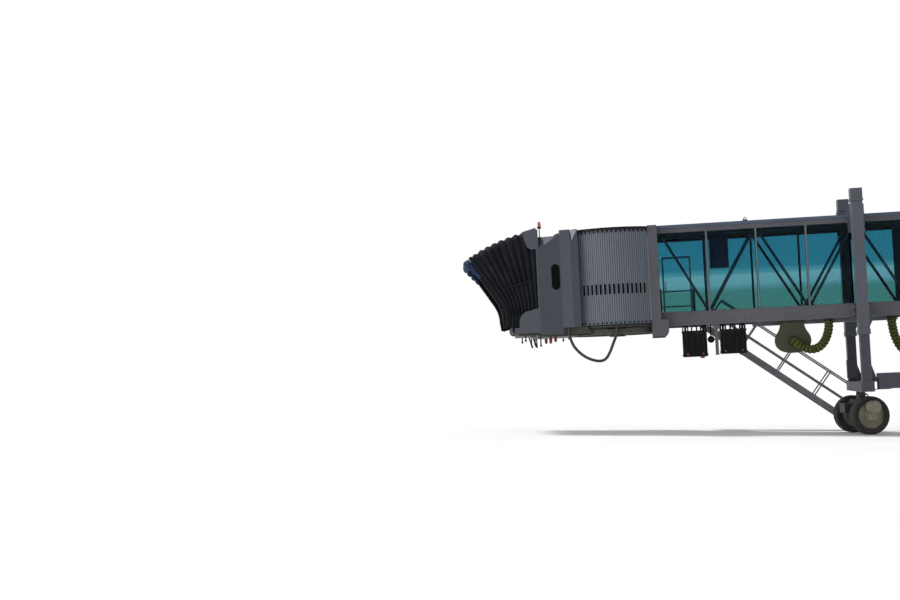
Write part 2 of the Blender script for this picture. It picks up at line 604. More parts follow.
fit_out("outer", "outer_tunnel", outer_x0, -6.91, 0.85, 0.25, 3.125,
        [outer_x0 + bay_l * (i + 0.5) for i in range(outer_bays)])
bm = bmesh.new()
for i in range(1, outer_bays):
    x = outer_x0 + i * bay_l
    bar(bm, (x - 0.03, -1.21, 3.198), (x + 0.03, 1.21, 3.208))
for side in (-1, 1):
    low, high = sorted((side * 1.195, side * 1.225))
    bar(bm, (outer_x0, low, 3.199), (-6.91, high, 3.222))
put("roof_gutters", bm, roof_grey, tunnel, "outer_tunnel", "tunnel_paint", edge=0.002)

# The unit that hangs in the tunnel's second bay is a fan coil in a blue painted case, with louvres across its
# lower face, on two flat hangers from the roof.
unit_blue = painted("unit_blue", "1f3a66", gloss=0.35, streaks=0.1)
dress(unit_blue, "ceiling_unit", edge=0.012)
unit_x, unit_y0, unit_y1, unit_low, unit_high = (-17.53, -16.93), 0.5, 0.95, 1.9, 2.9
bm = bmesh.new()
for k in range(9):
    z = unit_low + 0.12 + k * 0.045
    bar(bm, (unit_x[0] + 0.06, unit_y0 - 0.012, z), (unit_x[1] - 0.06, unit_y0 + 0.001, z + 0.022))
bar(bm, (unit_x[0] + 0.05, unit_y0 - 0.006, unit_high - 0.3), (unit_x[1] - 0.05, unit_y0 + 0.001, unit_high - 0.08))
put("unit_louvres", bm, unit_blue, tunnel, "outer_tunnel", "unit_paint", edge=0.003)

# A square lift column stands at each side of the tunnel with a motor in its head. A leg slides in it, and the
# two legs stand on a cross beam, a rocker and a steered bogie on two solid-tyred wheels.
leg_grey = painted("leg_grey", "3f4149", streaks=0.35)
column_grey = painted("column_grey", "52545e", streaks=0.35)
bogie_grey = painted("bogie_grey", "2c2d2f", patches=0.5, gloss=0.5)
motor_cream = painted("motor_cream", "98917f", grime="2a2622", patches=0.6)
dress(column_grey, "lift_column_near", "lift_column_far", "lift_motors")
dress(leg_grey, "lift_legs", "cross_beam")
dress(bogie_grey, "rocker_block", "bogie_frame")
dress(motor_cream, "drive_motors")
column_s, column_y, column_w, column_gap = 13.07, 1.485, 0.34, 0.115
bm = bmesh.new()
for side in (-1, 1):
    plate_y = side * (column_y - column_w / 2 - column_gap + 0.025 + 0.023)
    for k in range(5):
        bolt(bm, (-column_s + 0.215, plate_y, 2.72 + k * 0.19), (0, side, 0), across=0.055)
    for dx in (-0.215, 0.215):
        for z in (0.1, 0.32):
            bolt(bm, (-column_s + dx, side * (column_y - column_w / 2 - column_gap + 0.018), z), (0, side, 0),
                 across=0.05)
    for dx in (-0.165, 0.165):
        for dy in (-0.165, 0.165):
            bolt(bm, (-column_s + dx, side * column_y + dy, 3.6603), (0, 0, 1), across=0.03)
put("column_bolts", bm, galvanised, tunnel, "outer_tunnel", "galvanised_steel")

bogie = frame_at(Vector(joint["bogie_steer"]["pos_m"]),
                 Vector(joint["near_wheel_spin"]["axis"]).cross(Vector((0, 0, 1))),
                 Vector(joint["near_wheel_spin"]["axis"]))
tyre_black, tree = new_material("tyre_black")
where = node(tree, "TexCoord", 3)
scuff = node(tree, "TexNoise", Vector=where, Scale=14.0, Detail=8.0, Roughness=0.7)
put_shader(tree, node(tree, "BsdfPrincipled", Base_Color=colour_ramp(tree, scuff, (0.35, "121213"), (0.75, "343230")),
                      Roughness=0.82, Normal=node(tree, "Bump", Strength=0.35, Distance=0.004, Height=scuff)))
wheel_r, wheel_w, wheel_track = 0.6, 0.34, 1.5


def revolve(bm, profile, place, sides=72):
    rings = []
    for k in range(sides):
        a = 2 * math.pi * k / sides
        rings.append([bm.verts.new(place @ Vector((r * math.cos(a), y, r * math.sin(a)))) for r, y in profile])
    for k in range(sides):
        a, b = rings[k], rings[(k + 1) % sides]
        for i in range(len(profile)):
            j = (i + 1) % len(profile)
            bm.faces.new((a[i], a[j], b[j], b[i]))


tyre = [(0.40, 0.13), (0.45, 0.155), (0.52, 0.17), (0.565, 0.165), (0.59, 0.145), (0.6, 0.11), (0.6, 0.062),
        (0.588, 0.056), (0.588, 0.044), (0.6, 0.038), (0.6, -0.038), (0.588, -0.044), (0.588, -0.056),
        (0.6, -0.062), (0.6, -0.11), (0.59, -0.145), (0.565, -0.165), (0.52, -0.17), (0.45, -0.155), (0.40, -0.13)]
rim = [(0.0705, 0.15), (0.15, 0.15), (0.16, 0.07), (0.37, 0.06), (0.385, 0.125), (0.40, 0.135), (0.40, -0.135),
       (0.385, -0.125), (0.37, -0.06), (0.16, -0.07), (0.15, -0.15), (0.0705, -0.15)]
for side, label in ((-1, "near"), (1, "far")):
    hub = bogie @ Matrix.Translation((0, side * wheel_track / 2, 0.6 - 1.18))
    bm = bmesh.new()
    revolve(bm, tyre, Matrix.Identity(4), 96)
    for k in range(24):
        lug = Matrix.Rotation(2 * math.pi * k / 24, 4, "Y") @ Matrix.Translation((0.593, 0, 0))
        for y in (-0.125, 0.085):
            bar(bm, (-0.006, y, -0.03), (0.0065, y + 0.04, 0.03), lug)
    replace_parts(put("tyre_" + label, bm, tyre_black, hub, label + "_wheel", "tyre_rubber"), "wheel_" + label)
    bm = bmesh.new()
    revolve(bm, rim, Matrix.Identity(4), 72)
    for k in range(10):
        a = 2 * math.pi * k / 10
        for face in (-1, 1):
            bolt(bm, (0.24 * math.cos(a), face * 0.066, 0.24 * math.sin(a)), (0, face, 0), across=0.045)
    put("rim_" + label, bm, motor_cream, hub, label + "_wheel", "motor_paint", edge=0.002)

# The service stair hangs by a pin from the landing outside the service door and rolls on two foot wheels. It
# is galvanised, with open grating for the landing and treads.
dress(galvanised, "stair_flight", "stair_rails", "stair_landing", edge=0.002)
dress(tyre_black, "stair_wheels", edge=0.004)

# The hose reel's bell housing and the two hose runs carry conditioned air. The hose is ribbed yellow-green
# fabric on a wire helix, clamped to black collars.
reel_at = 4.35
reel = tunnel @ Matrix.Translation((-outer_end + reel_at, 0, 0))
reel_beige = painted("reel_beige", "3a392a", grime="26241b", patches=0.4, gloss=0.6)
half_bell = [(0.37, -0.06, 0), (0.38, -0.18, 0), (0.425, -0.31, 0), (0.515, -0.45, 0), (0.558, -0.6, 0),
             (0.54, -0.75, 0), (0.46, -0.88, 0), (0.33, -0.965, 0), (0.16, -1.008, 0), (0, -1.02, 0)]
bell = smooth_line(half_bell, 5)
bell += [Vector((-p.x, p.y, 0)) for p in reversed(bell[:-1])]
bm = bmesh.new()
rows = [[bm.verts.new((p.x * shrink, y, -0.06 + (p.y + 0.06) * shrink)) for p in bell]
        for y, shrink in ((-1.012, 0.96), (-1.016, 0.985), (-1.03, 1.0), (-1.125, 1.0), (-1.145, 0.985), (-1.152, 0.95),
                          (-1.146, 0.9), (-1.15, 0.86))]
for a, b in zip(rows, rows[1:]):
    for k in range(len(bell)):
        bm.faces.new((a[k], a[(k + 1) % len(bell)], b[(k + 1) % len(bell)], b[k]))
bm.faces.new(rows[0])
bm.faces.new(rows[-1][::-1])
for x in (-0.4, -0.09, 0.25):
    bar(bm, (x, -1.165, -0.07), (x + (0.18 if x == -0.09 else 0.15), -1.01, -0.001))
for z0, z1 in ((-0.07, -0.05), (-0.02, -0.001)):
    bar(bm, (-0.4, -1.165, z0), (0.4, -1.01, z1))
bar(bm, (-0.4, -1.1, -0.07), (0.4, -1.009, -0.001))
for k in range(14):
    p = bell[3 + round(k * (len(bell) - 7) / 13)]
    bolt(bm, (p.x * 0.93, -1.149, -0.06 + (p.y + 0.06) * 0.93), (0, -1, 0), across=0.022)
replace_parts(put("reel_housing", bm, reel_beige, reel, "outer_tunnel", "reel_paint", sharp=30), "hose_reel")
hose_cloth, tree = new_material("hose_cloth")
where = node(tree, "TexCoord", 3)
soiled = node(tree, "TexNoise", Vector=where, Scale=5.0, Detail=7.0)
weave = node(tree, "TexNoise", Vector=where, Scale=300.0, Detail=2.0)
put_shader(tree, node(tree, "BsdfPrincipled", Base_Color=colour_ramp(tree, soiled, (0.35, "363b18"), (0.7, "4c5121")),
                      Roughness=0.8, Specular_IOR_Level=0.15,
                      Normal=node(tree, "Bump", Strength=0.25, Distance=0.001, Height=weave)))
hose_cord = painted("hose_cord", "16180f", grime="0e0f0a", gloss=0.7, wear=0.1, shine=0.15)


def sweep(bm, line, radii, sides=20, closed=True):
    line = [Vector(p) for p in line]
    up = Vector((0, 1, 0))
    rings = []
    for i, at in enumerate(line):
        ahead = (line[min(i + 1, len(line) - 1)] - line[max(i - 1, 0)]).normalized()
        across = ahead.cross(up)
        if across.length < 0.05:
            across = ahead.cross(Vector((1, 0, 0)))
        across.normalize()
        up = across.cross(ahead).normalized()
        r = radii[i] if isinstance(radii, list) else radii
        rings.append([bm.verts.new(at + r * (across * math.cos(2 * math.pi * k / sides)
                                             + up * math.sin(2 * math.pi * k / sides))) for k in range(sides)])
    for a, b in zip(rings, rings[1:]):
        for k in range(sides):
            bm.faces.new((a[k], a[(k + 1) % sides], b[(k + 1) % sides], b[k]))
    if closed:
        bm.faces.new(rings[0][::-1])
        bm.faces.new(rings[-1])


def even_line(points, step):
    fine = smooth_line(points, 24)
    total = sum((b - a).length for a, b in zip(fine, fine[1:]))
    count = max(2, round(total / step))
    line, gone, k = [fine[0]], 0.0, 0
    for i in range(1, count):
        goal = total * i / count
        while gone + (fine[k + 1] - fine[k]).length < goal:
            gone += (fine[k + 1] - fine[k]).length
            k += 1
        share = (goal - gone) / (fine[k + 1] - fine[k]).length
        line.append(fine[k].lerp(fine[k + 1], share))
    return line + [fine[-1]]


hose_routes = {
    "reel_hose": ((-outer_end + reel_at, 0, 0), [(0, -1.16, -0.64), (0, -1.27, -0.64), (0.1, -1.35, -0.74),
        (0.29, -1.37, -0.87), (0.52, -1.37, -0.93), (0.74, -1.34, -0.88), (0.92, -1.28, -0.72), (1.05, -1.2, -0.48),
        (1.11, -1.13, -0.24), (1.12, -1.1, -0.1), (1.12, -1.1, 0)]),
    "loop_hose": ((-column_s + 1.12, 0, 0), [(-0.2, -1.05, 0), (-0.2, -1.05, -0.12), (-0.185, -1.055, -0.33),
        (-0.13, -1.08, -0.64), (0.02, -1.09, -0.98), (0.28, -1.1, -1.23), (0.62, -1.1, -1.33), (0.96, -1.1, -1.23),
        (1.22, -1.09, -0.98), (1.37, -1.08, -0.64), (1.425, -1.055, -0.33), (1.44, -1.05, -0.12), (1.44, -1.05, 0)])}
rib_step, rib_rows = 0.108, 8
rib_radii = (0.116, 0.122, 0.134, 0.139, 0.141, 0.139, 0.134, 0.122)
for name, (start, route) in hose_routes.items():
    line = even_line(route, rib_step / rib_rows)
    bm = bmesh.new()
    sweep(bm, line, [rib_radii[i % rib_rows] for i in range(len(line))], 28)
    bm.faces.ensure_lookup_table()
    for k, face in enumerate(bm.faces):
        face.material_index = 1 if (k // 28) % rib_rows in (0, rib_rows - 1) else 0
    at_hose = tunnel @ Matrix.Translation(start)
    hose = put(name, bm, hose_cloth, at_hose, "outer_tunnel", "hose_fabric", sharp=80)
    hose.data.materials.append(hose_cord)
    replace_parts(hose, "air_hoses")
    bm = bmesh.new()
    for end, ahead in ((Vector(route[0]), Vector(route[1]) - Vector(route[0])),
                       (Vector(route[-1]), Vector(route[-2]) - Vector(route[-1]))):
        ahead.normalize()
        rod(bm, end + ahead * 0.004, end + ahead * 0.075, 0.148, sides=40)
        rod(bm, end + ahead * 0.02, end + ahead * 0.032, 0.152, sides=40)
        rod(bm, end + ahead * 0.05, end + ahead * 0.062, 0.152, sides=40)
    put(name + "_collars", bm, rim_dark, at_hose, "outer_tunnel", "dark_rim", edge=0.002)

# Two cable hoists and their post hang from the near chord. The hoists are black steel boxes on bent bails, with
# a pulley between them, and the tray between them and the columns carries the bridge's own cables.
hoist_black = painted("hoist_black", "0b0a0d", grime="181616", patches=0.4, gloss=0.6, shine=0.1)
fitting_rust = painted("fitting_rust", "6b3a20", grime="2a1a12", patches=0.5, gloss=0.6)
dress(galvanised, "cable_tray", edge=0.002)
under_chord = tunnel @ Matrix.Translation((-outer_end, 0, 0))
bm, fittings = bmesh.new(), bmesh.new()
for x0, x1, low in ((0.94, 1.7, -1.0), (2.12, 2.92, -0.95)):
    bar(bm, (x0, -1.15, low), (x1, -0.65, -0.17))
    for z in (-0.23, low + 0.04):
        bar(bm, (x0 - 0.022, -1.162, z), (x1 + 0.022, -0.66, z + 0.045))
    for k in range(4):
        x = x0 + 0.09 + k * (x1 - x0 - 0.21) / 3
        bar(bm, (x, -1.158, low + 0.13), (x + 0.03, -1.149, -0.28))
    bar(bm, (x0 + 0.06, -1.154, -0.27), (x1 - 0.06, -1.149, -0.245))
    for k in range(3):
        x = x0 + 0.1 + k * (x1 - x0 - 0.2) / 2
        for y in (-1.08, -0.78):
            bail = smooth_line([(x - 0.075, y, -0.18), (x - 0.078, y, -0.09), (x - 0.05, y, -0.035), (x, y, -0.018),
                                (x + 0.05, y, -0.035), (x + 0.078, y, -0.09), (x + 0.075, y, -0.18)], 4)
            sweep(bm, bail, 0.019, 10)
    for x in (x0 + 0.1, x1 - 0.1):
        bar(bm, (x - 0.03, -1.11, -0.18), (x + 0.03, -0.75, -0.001))
    for x in (x0 + 0.14, x1 - 0.14):
        rod(fittings, (x, -1.148, low + 0.09), (x, -1.175, low + 0.09), 0.035, sides=20)
    rod(fittings, (x1 - 0.16, -1.0, low - 0.05), (x1 - 0.16, -1.0, low + 0.01), 0.06, 0.075, sides=24)
rod(bm, (1.83, -1.02, -0.47), (1.83, -0.96, -0.47), 0.11, sides=32)
rod(bm, (1.83, -1.03, -0.47), (1.83, -0.95, -0.47), 0.04, sides=20)
bar(bm, (1.81, -1.0, -0.47), (1.85, -0.98, -0.001))
bar(bm, (1.83, -1.0, -0.49), (1.96, -0.98, -0.45))
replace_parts(put("hoist_boxes", bm, hoist_black, under_chord, "outer_tunnel", "hoist_paint", edge=0.004),
            "cable_hoists")
put("hoist_fittings", fittings, fitting_rust, under_chord, "outer_tunnel", "hoist_paint", edge=0.002)
bm = bmesh.new()
bar(bm, (1.95, -1.19, -0.95), (2.05, -1.09, -0.001))
bar(bm, (1.93, -1.2, -0.97), (2.07, -1.08, -0.945))
for side in (-1, 1):
    bar(bm, (2.0 + side * 0.05 - 0.006, -1.18, -0.16), (2.0 + side * 0.11, -1.1, -0.001))
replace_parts(put("hoist_post", bm, tunnel_grey, under_chord, "outer_tunnel", "galvanised_steel", edge=0.003),
            "cable_hoists")

# The turntable carries the cab's rotunda: an olive deck on a ring beam, a roof with a dark rim, and curtains
# of the same slats as the rotunda's, with one smoked slot in each slat at eye level.
olive = painted("olive", "3f3f39", streaks=0.3, patches=0.4)
dress(olive, "turntable_frame")
dress(rim_dark, "turntable_roof")
mouth = math.acos(1.3027 / curtain_r)
front_jamb = math.acos(1.1297 / curtain_r)
cab_turn_rest = math.radians(8)
slot_low, slot_high = 1.09, 1.41
bm = bmesh.new()
for side, label, slats in ((-1, "near", 17), (1, "far", 21)):
    start = side * (math.pi - mouth) + cab_turn_rest
    end = side * front_jamb
    wall = slat_wall("cab_curtain_" + label, curtain_grey, turntable, curtain_r, slats, start, end, 0.13, 3.125,
                     (slot_low, slot_high) if side < 0 else None)
    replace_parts(wall, "cab_curtains")
    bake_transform(wall)
    slat_shoes(bm, turntable, curtain_r, slats, start, end, 0.15, 0.035)
    slat_shoes(bm, turntable, curtain_r, slats, start, end, 3.045, 0.079, half=0.034)
shoes = put("cab_curtain_shoes", bm, rim_dark, Matrix.Identity(4), None, "dark_rim")
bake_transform(shoes)
bm = bmesh.new()
first, last = -math.pi + mouth + cab_turn_rest, -front_jamb
strip = []
for k in range(61):
    a = first + (last - first) * (1 + 15 * k / 60) / 17
    strip.append([bm.verts.new((r * math.cos(a), r * math.sin(a), z))
                  for r, z in ((1.8275, 1.06), (1.8275, 1.44), (1.8235, 1.44), (1.8235, 1.06))])
for a, b in zip(strip, strip[1:]):
    for j in range(4):
        bm.faces.new((a[j], a[(j + 1) % 4], b[(j + 1) % 4], b[j]))
bm.faces.new(strip[0][::-1])
bm.faces.new(strip[-1])
slot_glass = put("cab_curtain_slots", bm, black_glass, turntable, None, "cab_glass")
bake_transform(slot_glass)
bm = bmesh.new()
revolved_band = [(1.741, 0.1), (1.747, 0.104), (1.747, 0.184), (1.741, 0.188)]
for k in range(120):
    a, b = (math.radians(55) + math.radians(250) * j / 120 for j in (k, k + 1))
    quads = [[bm.verts.new((r * math.cos(t), r * math.sin(t), z)) for r, z in revolved_band] for t in (a, b)]
    for j in range(4):
        bm.faces.new((quads[0][j], quads[0][(j + 1) % 4], quads[1][(j + 1) % 4], quads[1][j]))
bmesh.ops.remove_doubles(bm, verts=bm.verts[:], dist=0.0005)
put("turntable_seal", bm, rim_dark, turntable, "outer_tunnel", "dark_rim")

# The cab is folded sheet steel on a carriage ring: side walls with a stadium window, hipped front corners, and
# at their back the tall boxes that the curtains wind into.
along_cab = Vector(joint["canopy_fold"]["axis"]).cross(Vector(joint["cab_turn"]["axis"]))
cab = frame_at(Vector(joint["cab_turn"]["pos_m"]), along_cab, Vector(joint["canopy_fold"]["axis"]))
cab_grey = painted("cab_grey", "42464e", grime="2b2d31", streaks=0.25, patches=0.2, ribs=0.09)
box_grey = painted("box_grey", "464953", grime="2e3035", streaks=0.25, patches=0.15)
shield_grey = painted("shield_grey", "4f515a", grime="303136", streaks=0.2, patches=0.2)
dress(cab_grey, "cab_walls", "cab_roof")
dress(box_grey, "curtain_boxes")
dress(shield_grey, "canopy_shields")
dress(olive, "cab_floor")
dress(black_glass, "cab_windows", edge=0)
pale_flashing = painted("pale_flashing", "a3a5aa", grime="6a6c70", streaks=0.1, patches=0.2)
box_low, box_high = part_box("curtain_boxes")
bm = bmesh.new()
for side in (-1, 1):
    corners = ((-1.535, 1.612, 3.19), (-1.315, 1.576, 3.19), (-1.49, 1.605, 2.87))
    faces = [[bm.verts.new((x, side * (y + out), z)) for x, y, z in corners] for out in (0.001, 0.005)]
    bm.faces.new(faces[0])
    bm.faces.new(faces[1][::-1])
    for k in range(3):
        bm.faces.new((faces[0][k], faces[0][(k + 1) % 3], faces[1][(k + 1) % 3], faces[1][k]))
put("box_flashings", bm, pale_flashing, cab, "cab", "cab_paint")
bm, fittings = bmesh.new(), bmesh.new()
for u, y, top, low, lean in ((0.52, -1.2, -0.09, -0.25, 0.0), (0.3, -1.1, -0.09, -0.42, 0.1),
                             (0.22, -1.1, -0.09, -0.36, 0.0), (0.04, -1.15, -0.09, -0.42, 0.0),
                             (-0.86, -1.25, -0.15, -0.24, 0.0)):
    for side in (-1, 1):
        rod(bm, (-2.55 - u, side * y, top), (-2.55 - u + lean, side * y, low), 0.022, sides=12)
        rod(bm, (-2.55 - u + lean, side * y - 0.03, low), (-2.55 - u + lean, side * y + 0.03, low), 0.035, sides=20)
for u, y in ((-0.28, -1.2), (-0.43, -1.18)):
    for side in (-1, 1):
        bar(fittings, (-2.55 - u - 0.045, side * y - 0.05, -0.3), (-2.55 - u + 0.045, side * y + 0.05, -0.158))
        rod(fittings, (-2.55 - u, side * y, -0.33), (-2.55 - u, side * y, -0.29), 0.03, sides=16)
put("cab_feelers", bm, rim_dark, cab, "cab", "dark_rim", edge=0.002)
put("cab_feeler_blocks", fittings, fitting_rust, cab, "cab", "olive_paint", edge=0.004)

# The beacon warns of movement: an amber dome on a black base, on a pole at the cab's corner.
lens, tree = new_material("amber_lens")
flutes = node(tree, "TexWave", Vector=node(tree, "TexCoord", 3), Scale=30.0)
put_shader(tree, node(tree, "BsdfPrincipled", Base_Color=colour_ramp(tree, flutes, (0.2, "b8421a"), (0.8, "d8602c")),
                      Roughness=0.15, Transmission_Weight=0.3, Coat_Weight=0.4))
lamp_at = Vector((-2.47, -1.12, 3.0403))
bm = bmesh.new()
rod(bm, lamp_at, lamp_at + Vector((0, 0, 0.31)), 0.018)
rod(bm, lamp_at, lamp_at + Vector((0, 0, 0.02)), 0.05)
put("beacon_pole", bm, galvanised, cab, "cab", "galvanised_steel")
bm = bmesh.new()
rod(bm, lamp_at + Vector((0, 0, 0.29)), lamp_at + Vector((0, 0, 0.35)), 0.065, 0.06, 32)
put("beacon_base", bm, rim_dark, cab, "cab", "dark_rim", edge=0.004)
bm = bmesh.new()
dome = [(0.0, 0.0), (0.055, 0.0), (0.055, 0.1), (0.05, 0.13), (0.038, 0.152), (0.02, 0.16), (0.0, 0.163)]
spun = [[bm.verts.new(lamp_at + Vector((max(r, 0.0005) * math.cos(a), max(r, 0.0005) * math.sin(a), 0.349 + z)))
         for r, z in dome] for a in [2 * math.pi * k / 32 for k in range(32)]]
for k in range(32):
    for i in range(len(dome) - 1):
        bm.faces.new((spun[k][i], spun[(k + 1) % 32][i], spun[(k + 1) % 32][i + 1], spun[k][i + 1]))
bmesh.ops.remove_doubles(bm, verts=bm.verts[:], dist=0.002)
put("beacon_dome", bm, lens, cab, "cab", "lamp_lens", "cab_lamps")

# The canopy reaches out from the cab's mouth: pleated black fabric on hoops, from a root frame on the cab to
# two curved arms, with a soft blue-grey pad along their front edge and across their head.
front_x = -2.55
root_u, arc_r, arc_u, arc_z, arm_low, arm_high, arm_l = 0.0803, 1.25, 2.293, 0.45, -14.0, 33.0, 1.65
arm_t, arm_y, pleats, pleat_depth = 0.11, 1.43, 9, 0.05
fold_shape = ((0.0, 0.0), (0.05, 0.45), (0.1, 0.62), (0.42, 1.0), (0.48, 0.96), (0.86, 0.55), (0.95, 0.3))
arc_run = math.radians(40) * arc_r
leg_run = arc_run + arm_l - 0.15
lowest = -math.radians(6) * arc_r / leg_run
cab_front = cab @ Matrix.Translation((front_x, 0, 0))


def arm_back(w):
    s = w * leg_run
    a = math.radians(arm_high - 40) + min(s, arc_run) / arc_r
    extra = max(0.0, s - arc_run)
    r = arc_r + 0.004
    return Vector((arc_u - r * math.cos(a) + extra * math.sin(a), arc_z + r * math.sin(a) + extra * math.cos(a)))


def fabric_leg(t, w):
    root = Vector((root_u, 0.42 + 2.73 * (w - lowest) / (1 - lowest)))
    swell = 4 * t * (1 - t) * Vector((0.04 + 0.04 * w, -0.02 + 0.1 * w))
    return root * (1 - t) + arm_back(w) * t + swell


head_curve = smooth_line([(0, 0, 0), (0.06, 0.06, 0), (0.11, 0.2, 0), (0.14, 0.6, 0), (0.145, 1.0, 0),
                          (0.145, 1.39, 0)], 5)


def fabric_section(t, full, steps=30):
    off = -pleat_depth + 2 * pleat_depth * full
    section = []
    for i in range(steps):
        u, z = fabric_leg(t, lowest + (1 - lowest) * i / steps)
        hang = 0.35 + 0.65 * min(1.0, (steps - i) / 6, 0.25 + i / 8)
        section.append(Vector((-u, -(arm_y - 0.04 + off * hang), z)))
    top = fabric_leg(t, 1)
    up = (top - fabric_leg(t, 0.96)).normalized()
    for rise, back, _ in head_curve:
        spot = top + up * (rise + (off if rise > 0.02 else 0) * min(1, rise / 0.06))
        section.append(Vector((-spot.x, -(arm_y - 0.04 + off * (1 - min(1, back / 0.3)) - back), spot.y)))
    return section + [Vector((p.x, -p.y, p.z)) for p in reversed(section[:-1])]


canopy_black, tree = new_material("canopy_black")
where = node(tree, "TexCoord", 3)
fade = node(tree, "TexNoise", Vector=where, Scale=1.6, Detail=8.0, Roughness=0.6)
weave = node(tree, "TexWave", 0, [("wave_type", "BANDS")], Vector=where, Scale=260.0, Distortion=0.6)
crumple = node(tree, "TexNoise", Vector=where, Scale=7.0, Detail=5.0)
puckers = node(tree, "Math", 0, [("operation", "MULTIPLY_ADD")], _0=weave, _1=0.08, _2=crumple)
put_shader(tree, node(tree, "BsdfPrincipled", Base_Color=colour_ramp(tree, fade, (0.35, "14151b"), (0.7, "23252c")),
                      Roughness=0.85, Specular_IOR_Level=0.12,
                      Normal=node(tree, "Bump", Strength=0.45, Distance=0.012, Height=puckers)))
bm = bmesh.new()
grid = []
for i in range(pleats):
    for share, full in fold_shape:
        grid.append([bm.verts.new(p) for p in fabric_section((i + share) / pleats, full)])
grid.append([bm.verts.new(p) for p in fabric_section(1, 0)])
for a, b in zip(grid, grid[1:]):
    for k in range(len(a) - 1):
        bm.faces.new((a[k], a[k + 1], b[k + 1], b[k]))
for vert in bm.verts:
    vert.co += noise.noise_vector(vert.co * 3.0) * 0.012
fabric_area = sum(face.calc_area() for face in bm.faces)
bellows = put("canopy_pleats", bm, canopy_black, cab_front, None, "canopy_fabric", "canopy_bellows", sharp=14)
cloth = bellows.modifiers.new("cloth", "SOLIDIFY")
cloth.thickness, cloth.offset = 0.004, 0
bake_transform(bellows)
strap_line = smooth_line([(-0.01, 1.652, 0), (-0.506, 1.608, 0), (-0.951, 1.474, 0), (-1.2, 1.38, 0)], 8)
bm = bmesh.new()
strap = [[bm.verts.new((p.x, -(arm_y + pleat_depth - 0.03) + y, p.y + z))
          for y, z in ((0, -0.022), (0, 0.022), (-0.008, 0.022), (-0.008, -0.022))] for p in strap_line]
for a, b in zip(strap, strap[1:]):
    for k in range(4):
        bm.faces.new((a[k], a[(k + 1) % 4], b[(k + 1) % 4], b[k]))
bm.faces.new(strap[0])
bm.faces.new(strap[-1][::-1])
bmesh.ops.create_cube(bm, size=0.06, matrix=Matrix.Translation((-0.5, -(arm_y + pleat_depth - 0.028), 1.609))
                      @ Matrix.Diagonal((1, 0.3, 1, 1)))
lash = put("canopy_strap", bm, rim_dark, cab_front, None, "canopy_fabric", edge=0.002)
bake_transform(lash)

pad_blue, tree = new_material("pad_blue")
where = node(tree, "TexCoord", 3)
fade = node(tree, "TexNoise", Vector=where, Scale=2.5, Detail=7.0)
weave = node(tree, "TexNoise", Vector=where, Scale=240.0, Detail=2.0)
put_shader(tree, node(tree, "BsdfPrincipled", Base_Color=colour_ramp(tree, fade, (0.3, "18263c"), (0.75, "233657")),
                      Roughness=0.7, Specular_IOR_Level=0.2,
                      Normal=node(tree, "Bump", Strength=0.3, Distance=0.001, Height=weave)))


def arm_front(s):
    a = math.radians(arm_low) + min(s, math.radians(arm_high - arm_low) * arc_r) / arc_r
    extra = max(0.0, s - math.radians(arm_high - arm_low) * arc_r)
    r = arc_r - arm_t
    toward = Vector((math.cos(a), -math.sin(a)))
    at = Vector((arc_u, arc_z)) - r * Vector((math.cos(a), -math.sin(a))) + extra * Vector((math.sin(a), math.cos(a)))
    return at, toward


front_run = math.radians(arm_high - arm_low) * arc_r + arm_l


def lobed(s, depth, pitch, pinch):
    return depth * (1 - pinch * (1 - abs(math.sin(math.pi * s / pitch)) ** 0.45))


def ring(bm, p, n, b, w, depth, squeeze, flip=1):
    made = []
    for j in range(20):
        a = flip * 2 * math.pi * j / 20
        ca, sa = math.cos(a), math.sin(a)
        x = math.copysign(abs(ca) ** 0.6, ca) * w / 2 * (1 - 0.12 * (1 - squeeze))
        y = (math.copysign(abs(sa) ** 0.6, sa) + 1) * depth / 2
        made.append(bm.verts.new(p + b * x + n * y))
    return made


def skin_rings(bm, rings):
    for a, b in zip(rings, rings[1:]):
        for j in range(20):
            bm.faces.new((a[j], a[(j + 1) % 20], b[(j + 1) % 20], b[j]))
    bm.faces.new(rings[0][::-1])
    bm.faces.new(rings[-1])


corner, pad_w, pad_from, lobe_pitch = 0.2, 0.22, 1.93, 0.19
bm = bmesh.new()
for side in (-1, 1):
    rings = []
    for i in range(141):
        s = pad_from * i / 140
        at, toward = arm_front(s)
        depth = lobed(s, 0.03 + 0.07 * min(1.0, s / 0.3), 0.09, 0.2)
        rings.append(ring(bm, Vector((-at.x, side * (arm_y - 0.075), at.y)), Vector((-toward.x, 0, toward.y)),
                          Vector((0, 1, 0)), 0.13, depth, 1))
    skin_rings(bm, rings)
seal = put("canopy_seal", bm, rim_dark, cab_front, "canopy", "canopy_pad", "canopy_front", sharp=60)
bm = bmesh.new()
path = []
steps = 60
for i in range(steps + 1):
    s = pad_from + (front_run - corner - pad_from) * i / steps
    at, toward = arm_front(s)
    path.append((Vector((-at.x, -(arm_y - pad_w / 2), at.y)), Vector((-toward.x, 0, toward.y)), Vector((0, 1, 0)), s))
at, toward = arm_front(front_run - corner)
rise = Vector((-math.sin(math.radians(arm_high)), 0, math.cos(math.radians(arm_high))))
base = Vector((-at.x, 0, at.y))
ahead = Vector((-toward.x, 0, toward.y))
inner_r = corner - pad_w / 2
for i in range(1, 9):
    a = math.pi / 2 * i / 8
    spot = base + Vector((0, -(arm_y - corner) - inner_r * math.cos(a), 0)) + rise * (inner_r * math.sin(a))
    path.append((spot, ahead, (Vector((0, math.cos(a), 0)) - rise * math.sin(a)),
                 front_run - corner + inner_r * a))
head_steps = 70
for i in range(1, head_steps + 1):
    y = -(arm_y - corner) * (1 - i / head_steps)
    path.append((base + Vector((0, y, 0)) + rise * inner_r, ahead, -rise,
                 path[60 + 8][3] + (arm_y - corner) * i / head_steps))
mirrored = [(Vector((p.x, -p.y, p.z)), n, Vector((b.x, -b.y, b.z)), s) for p, n, b, s in reversed(path[:-1])]
rings = []
